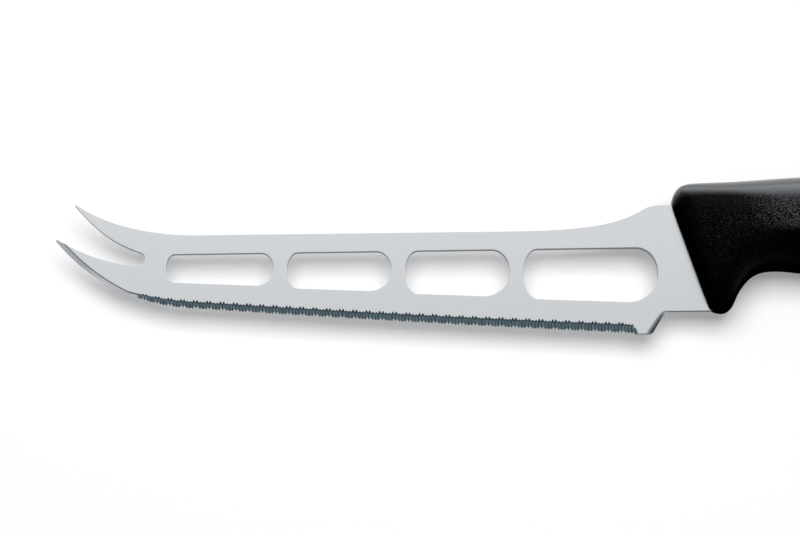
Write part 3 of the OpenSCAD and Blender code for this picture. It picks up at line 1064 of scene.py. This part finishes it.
def black_plastic(look, size):
    """Moulded plastic: a fine sparkling grain, with a smooth collar behind the front face and matt rims"""
    material, finish = new_material("black_plastic")
    x, y, z = finish.axes(finish.where())
    origin = origin_of(size)
    up = y - origin.y
    behind = (x - origin.x) + up * size.front_slope
    high = z - origin.z
    grip = behind.zone(12, 28)
    crest = (up + 1.8 * MM * grip).zone(6.6, 9.2) * high.zone(-6, 1) * (1 - high.zone(6, 8.3))
    grained = behind.zone(size.collar_w - 1, size.collar_w + 0.5) * (1 - 0.4 * crest)
    grained = grained * (0.35 - 0.35 * grip + grip * up.zone(-3, -1))
    mottle = finish.noise(finish.place(), 160.0, 2.0, 0.5)
    specks = finish.noise(finish.place(), 3400.0, 2.0, 0.6)
    tone = finish.blend(mottle, [0.8 * part for part in look.plastic], [1.2 * part for part in look.plastic])
    rough = 0.22 + 0.08 * mottle
    principled = "ShaderNodeBsdfPrincipled"
    shine = {"Base_Color": tone, "Roughness": rough, "Coat_Weight": crest, "Coat_Roughness": 0.12, "Coat_IOR": 2.15}
    grain = finish.node(
        principled, {}, **shine, Normal=finish.bump(specks, 0.08 * MM),
        Specular_Tint=(0.95, 0.97, 1), Specular_IOR_Level=0.85,
    )
    smooth = finish.node(principled, {}, **shine, Specular_Tint=(0.02, 0.02, 0.02))
    matt = finish.node(principled, {}, Base_Color=tone, Roughness=rough, Specular_IOR_Level=0.0)
    sparkle = grained * (specks - 0.09 * (1 - grip)).ramp(0.45, 0.62)
    skin = finish.node("ShaderNodeMixShader", {}, sparkle, smooth, grain)
    front = (1 - behind.zone(1.2, 3.6)) * (1 - up.zone(5, 7.5))
    rim = (1 - high.zone(4, 7.8)) * (1 - up.zone(-6, 0))
    whole = finish.node("ShaderNodeMixShader", {}, front.maths("MAXIMUM", front, rim), skin, matt)
    finish.node("ShaderNodeOutputMaterial", {}, whole)
    return material


# Stage --------------------------------------------------------------------------------------------


def seen(finish):
    """1 for what the camera sees straight, mirrored or through glass"""
    rays = ("Is Camera Ray", "Is Glossy Ray", "Is Transmission Ray")
    camera, glossy, through = finish.node("ShaderNodeLightPath", {}, output=rays)
    return camera, (camera + glossy + through).ramp(0.0, 1.0)


def table_paper(look):
    """Pale paper: lit softly round the knife, plain white further off"""
    material, finish = new_material("table_paper")
    radius = finish.node("ShaderNodeVectorMath", {"operation": "LENGTH"}, finish.where(), output="Value")
    far = radius.ramp(0.45, 0.9)
    camera, _ = seen(finish)
    finish.surface(
        Base_Color=finish.blend(far, look.table, (0, 0, 0)),
        Roughness=0.9,
        Specular_IOR_Level=0.0,
        Emission_Color=finish.blend(far, finish.blend(camera, (0, 0, 0), (0.24, 0.24, 0.245)), (1, 1, 1)),
        Emission_Strength=1.0,
    )
    return material


def studio_world():
    """White to the camera, a softly graded studio in reflections and an even fill for the rest"""
    world = bpy.data.worlds.new("studio")
    bpy.context.scene.world = world
    world.use_nodes = True
    finish = Finish(world.node_tree)
    _, y, z = finish.axes(finish.node("ShaderNodeTexCoord", {}, output="Generated"))
    camera, shown = seen(finish)
    # A bright patch that leans to the spine's side, a dark one to the edge's side, and a low sweep behind the spine
    soft = (0.259 * y + 0.966 * z).ramp(0.79, 0.92)
    dark = (0.87 * z - 0.5 * y).ramp(0.8, 0.95)
    sweep = y.ramp(0.6, 0.95)
    studio = 0.45 - 0.1 * y + soft * (0.62 + 2.7 * (y - 0.26)) - 0.3 * dark + 0.9 * sweep
    level = studio.maths("MAXIMUM", studio, 0.04) * (shown - camera) + camera + 0.22 * (1 - shown)
    blue = 0.07 * sweep * (shown - camera)
    tint = finish.node("ShaderNodeCombineColor", {}, level - blue, level, level + blue)
    finish.node("ShaderNodeOutputWorld", {}, finish.node("ShaderNodeBackground", {}, tint, 1.0))


# What the camera looks at, in millimetres from the drawing's origin
AIM = Vector((-70.364, -8.857, 0.9))
# The camera's lean towards the edge's side, its roll, and its distance in metres
CAMERA_TILT, CAMERA_ROLL, CAMERA_FAR = math.radians(15.3), math.radians(0.707), 0.75


class KNIFE_OT_stage(bpy.types.Operator):
    """Lays the pale table, hangs the soft light and sets up the camera"""

    bl_idname = "knife.stage"
    bl_label = "Stage"

    def execute(self, context):
        scene = context.scene
        scene.view_settings.view_transform = "Standard"
        put_down()
        bpy.ops.mesh.primitive_plane_add(size=12)
        table = context.object
        table.name = "table"
        table.data.materials.append(table_paper(scene.knife_finishes))
        studio_world()
        self.soft_light()
        scene.camera = self.camera()
        return {"FINISHED"}

    def soft_light(self):
        """One large soft light above the spine's side"""
        tilt = math.radians(13)
        stand = (-0.03, math.sin(tilt), math.cos(tilt))
        bpy.ops.object.light_add(type="AREA", location=stand, rotation=(-tilt, 0, 0))
        lamp = bpy.context.object
        lamp.name = "soft_light"
        lamp.data.shape = "RECTANGLE"
        lamp.data.size = 0.84
        lamp.data.size_y = 0.66
        lamp.data.energy = 9.2
        lamp.visible_glossy = False
        lamp.visible_camera = False

    def camera(self):
        """A long lens that looks down on the blade, a little from the edge's side"""
        right = Vector((math.cos(CAMERA_ROLL), -math.sin(CAMERA_ROLL), 0))
        level = Vector((math.sin(CAMERA_ROLL), math.cos(CAMERA_ROLL), 0))
        back = Vector((0, 0, math.cos(CAMERA_TILT))) - level * math.sin(CAMERA_TILT)
        turn = Matrix((right, back.cross(right), back)).transposed().to_4x4()
        stand = origin_of(sizes()) + AIM * MM + back * CAMERA_FAR
        bpy.ops.object.camera_add()
        camera = bpy.context.object
        camera.name = "photo_camera"
        camera.data.lens = 135
        camera.data.sensor_width = 36
        camera.data.clip_start = 0.01
        camera.matrix_world = Matrix.Translation(stand) @ turn
        return camera


class KNIFE_PT_panel(bpy.types.Panel):
    """Sizes and colours of the knife, and the steps that make it"""

    bl_label = "Cheese Knife"
    bl_idname = "KNIFE_PT_panel"
    bl_space_type = "VIEW_3D"
    bl_region_type = "UI"
    bl_category = "Knife"

    def draw(self, context):
        layout = self.layout
        for operator in (KNIFE_OT_stage, KNIFE_OT_blade, KNIFE_OT_handle):
            layout.operator(operator.bl_idname)
        for name in GROUPS:
            group = getattr(context.scene, name)
            column = layout.column()
            for key in group.__annotations__:
                column.prop(group, key)


GROUPS = {
    "knife_blade": BladeSizes,
    "knife_edge": EdgeSizes,
    "knife_handle": HandleSizes,
    "knife_finishes": Finishes,
}
CLASSES = (*GROUPS.values(), KNIFE_OT_blade, KNIFE_OT_handle, KNIFE_OT_stage, KNIFE_PT_panel)


def register():
    for cls in CLASSES:
        bpy.utils.register_class(cls)
    for name, group in GROUPS.items():
        setattr(bpy.types.Scene, name, PointerProperty(type=group))


def unregister():
    for name in GROUPS:
        delattr(bpy.types.Scene, name)
    for cls in reversed(CLASSES):
        bpy.utils.unregister_class(cls)


def main():
    register()
    bpy.ops.knife.blade()
    bpy.ops.knife.handle()
    bpy.ops.knife.stage()


if __name__ == "__main__":
    main()
